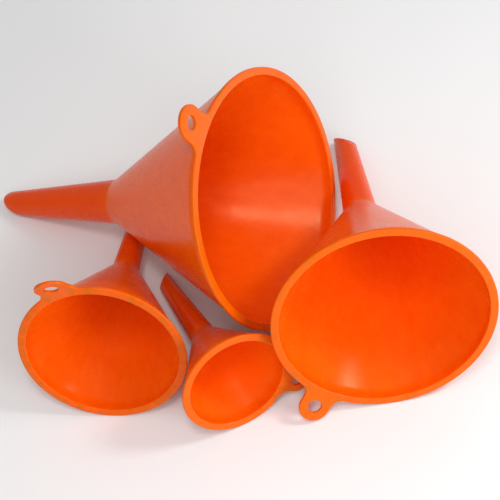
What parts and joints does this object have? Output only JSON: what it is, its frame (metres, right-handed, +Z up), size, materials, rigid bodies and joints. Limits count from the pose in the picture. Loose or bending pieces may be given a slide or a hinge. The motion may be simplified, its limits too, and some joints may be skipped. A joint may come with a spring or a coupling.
{
  "type": "funnel set",
  "caption": "Set of loose moulded funnels in graded sizes, each with a conical bowl, flat rim, hang tab and tapered spout with a slanted end.",
  "frame": {"origin": "centre of the set's footprint, on the table the funnels lie on", "axes": "+Z up from the table, +X along the longest side of the set with the large spout towards -X, -Y is the side most mouths face"},
  "size_m": [0.2174, 0.1628, 0.1272],
  "materials": {
    "orange_plastic": "glossy moulded polyethylene, slightly translucent"
  },
  "bodies": {
    "large_funnel": {"large_rim": "orange_plastic", "large_lip": "orange_plastic", "large_bowl": "orange_plastic", "large_spout": "orange_plastic", "large_hang_tab": "orange_plastic"},
    "medium_funnel": {"medium_rim": "orange_plastic", "medium_lip": "orange_plastic", "medium_bowl": "orange_plastic", "medium_spout": "orange_plastic", "medium_hang_tab": "orange_plastic"},
    "small_funnel": {"small_rim": "orange_plastic", "small_lip": "orange_plastic", "small_bowl": "orange_plastic", "small_spout": "orange_plastic", "small_hang_tab": "orange_plastic"},
    "mini_funnel": {"mini_rim": "orange_plastic", "mini_lip": "orange_plastic", "mini_bowl": "orange_plastic", "mini_spout": "orange_plastic", "mini_hang_tab": "orange_plastic"}
  },
  "joints": [
    {"name": "large_lift", "type": "slide", "parent": "mini_funnel", "child": "large_funnel", "axis": [0, 0, 1], "range_m": [0, 0.12]},
    {"name": "medium_lift", "type": "slide", "parent": "mini_funnel", "child": "medium_funnel", "axis": [0, 0, 1], "range_m": [0, 0.12]},
    {"name": "small_pull", "type": "slide", "parent": "mini_funnel", "child": "small_funnel", "axis": [-0.309, -0.9511, 0], "range_m": [0, 0.13]}
  ]
}
